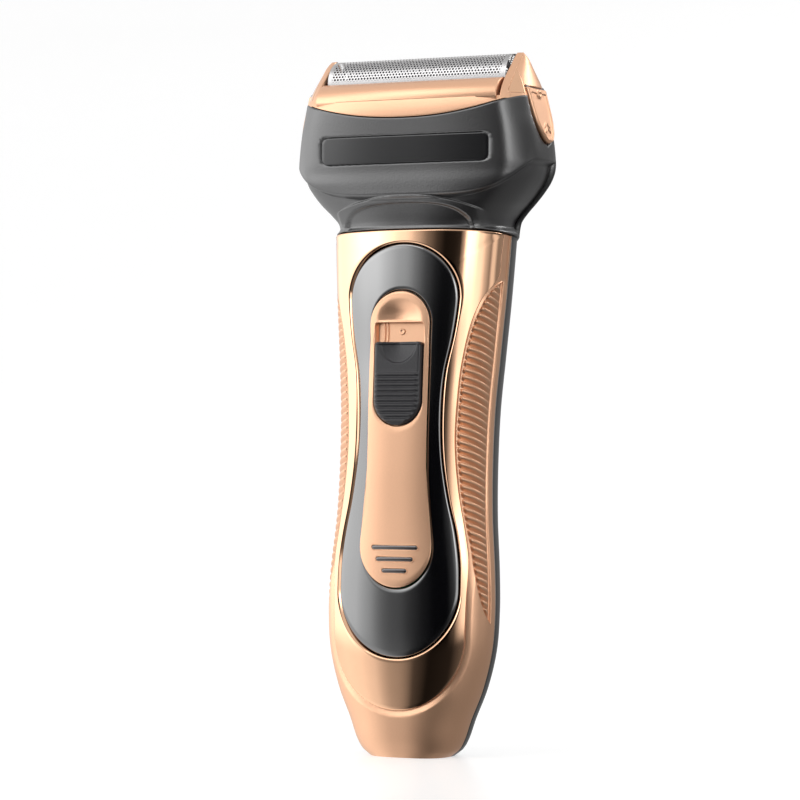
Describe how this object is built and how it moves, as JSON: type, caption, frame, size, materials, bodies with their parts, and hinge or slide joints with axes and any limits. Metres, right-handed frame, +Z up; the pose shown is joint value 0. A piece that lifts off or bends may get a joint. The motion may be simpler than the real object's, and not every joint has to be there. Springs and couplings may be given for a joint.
{
  "type": "foil shaver",
  "caption": "Cordless single-foil shaver with a removable cutting head, sprung cutter, side release tongues, slide switch and ribbed side grips, standing on its base.",
  "frame": {"origin": "middle of the object's bounding box, on the base plane it stands on", "axes": "+Z up along the handle, -Y the front with the switch, +X to the right seen from the front"},
  "size_m": [0.0616, 0.0301, 0.1583],
  "materials": {
    "satin_gold": "satin rose gold plated plastic",
    "gloss_gold": "mirror rose gold plated plastic",
    "dark_shell": "fine textured dark grey",
    "black_gloss": "high gloss black",
    "label_gloss": "gloss dark grey",
    "switch_grey": "satin dark grey",
    "indicator": "dark chrome",
    "inner_plastic": "natural moulded",
    "deck_plastic": "moulded dark grey",
    "white_plastic": "acetal, slightly glossy",
    "cell_wrap": "shrink wrap",
    "nickel": "nickel plated strip",
    "board": "solder mask",
    "component": "moulded package",
    "led": "clear resin",
    "steel": "ground",
    "zinc_can": "zinc plated",
    "magnet": "sintered",
    "copper": "enamelled copper windings",
    "brass_contact": "plated",
    "black_rubber": "soft matte",
    "foil_steel": "perforated foil",
    "wire": "insulated lead"
  },
  "bodies": {
    "handle": {"front_housing": "satin_gold", "rear_housing": "dark_shell", "front_bezel": "gloss_gold", "front_panel": "black_gloss", "switch_plate": "satin_gold", "grip_left": "satin_gold", "grip_right": "satin_gold", "indicator_lenses": "indicator", "inner_chassis": "inner_plastic", "battery": "cell_wrap", "battery_tabs": "nickel", "circuit_board": "board", "board_components": "component", "indicator_leds": "led", "slide_switch": "component", "motor_can": "zinc_can", "motor_end_cap": "component", "motor_magnets": "magnet", "charge_socket": "component", "socket_pin": "brass_contact", "neck_plate": "deck_plastic", "shaft_seal": "black_rubber", "chassis_screws": "steel", "wiring": "wire"},
    "switch": {"power_switch": "switch_grey", "switch_carriage": "white_plastic", "switch_contact": "brass_contact"},
    "rotor": {"rotor_core": "copper", "motor_shaft": "steel", "eccentric_cam": "white_plastic"},
    "head": {"head_front_shell": "dark_shell", "head_rear_shell": "dark_shell", "label_panel": "label_gloss", "head_deck": "deck_plastic", "drive_seal": "black_rubber", "head_screws": "steel"},
    "oscillator": {"drive_bridge": "white_plastic", "bridge_legs": "white_plastic"},
    "cutter": {"blade_holder": "deck_plastic", "cutter_blades": "steel", "cutter_spring": "steel"},
    "foil_unit": {"foil_frame": "satin_gold", "foil": "foil_steel", "foil_bars": "satin_gold", "corner_inserts": "gloss_gold", "tab_pins": "steel"},
    "release_left": {"tab_left": "satin_gold"},
    "release_right": {"tab_right": "satin_gold"}
  },
  "joints": [
    {"name": "switch_slide", "type": "slide", "parent": "handle", "child": "switch", "axis": [0, 0.061, 0.9981], "range_m": [0, 0.0044]},
    {"name": "rotor_spin", "type": "hinge", "parent": "handle", "child": "rotor", "pos_m": [0, 0.0022, 0.1], "axis": [0, 0, 1], "continuous": true},
    {"name": "head_lift", "type": "slide", "parent": "handle", "child": "head", "axis": [0, 0, 1], "range_m": [0, 0.014]},
    {"name": "drive_slide", "type": "slide", "parent": "head", "child": "oscillator", "axis": [1, 0, 0], "range_m": [-0.001, 0.001], "stiffness_N_per_m": 200, "deforming": ["bridge_legs"]},
    {"name": "cutter_float", "type": "slide", "parent": "oscillator", "child": "cutter", "axis": [0, 0, 1], "range_m": [-0.0011, 0], "stiffness_N_per_m": 400, "springref_m": 0.002, "deforming": ["cutter_spring"]},
    {"name": "foil_unit_lift", "type": "slide", "parent": "head", "child": "foil_unit", "axis": [0, 0, 1], "range_m": [0, 0.016]},
    {"name": "tab_left_swing", "type": "hinge", "parent": "foil_unit", "child": "release_left", "pos_m": [-0.0266, 0.0022, 0.1501], "axis": [0, 1, 0], "range_deg": [0, 8], "stiffness_Nm_per_rad": 0.05},
    {"name": "tab_right_swing", "type": "hinge", "parent": "foil_unit", "child": "release_right", "pos_m": [0.0266, 0.0022, 0.1501], "axis": [0, -1, 0], "range_deg": [0, 8], "stiffness_Nm_per_rad": 0.05}
  ]
}
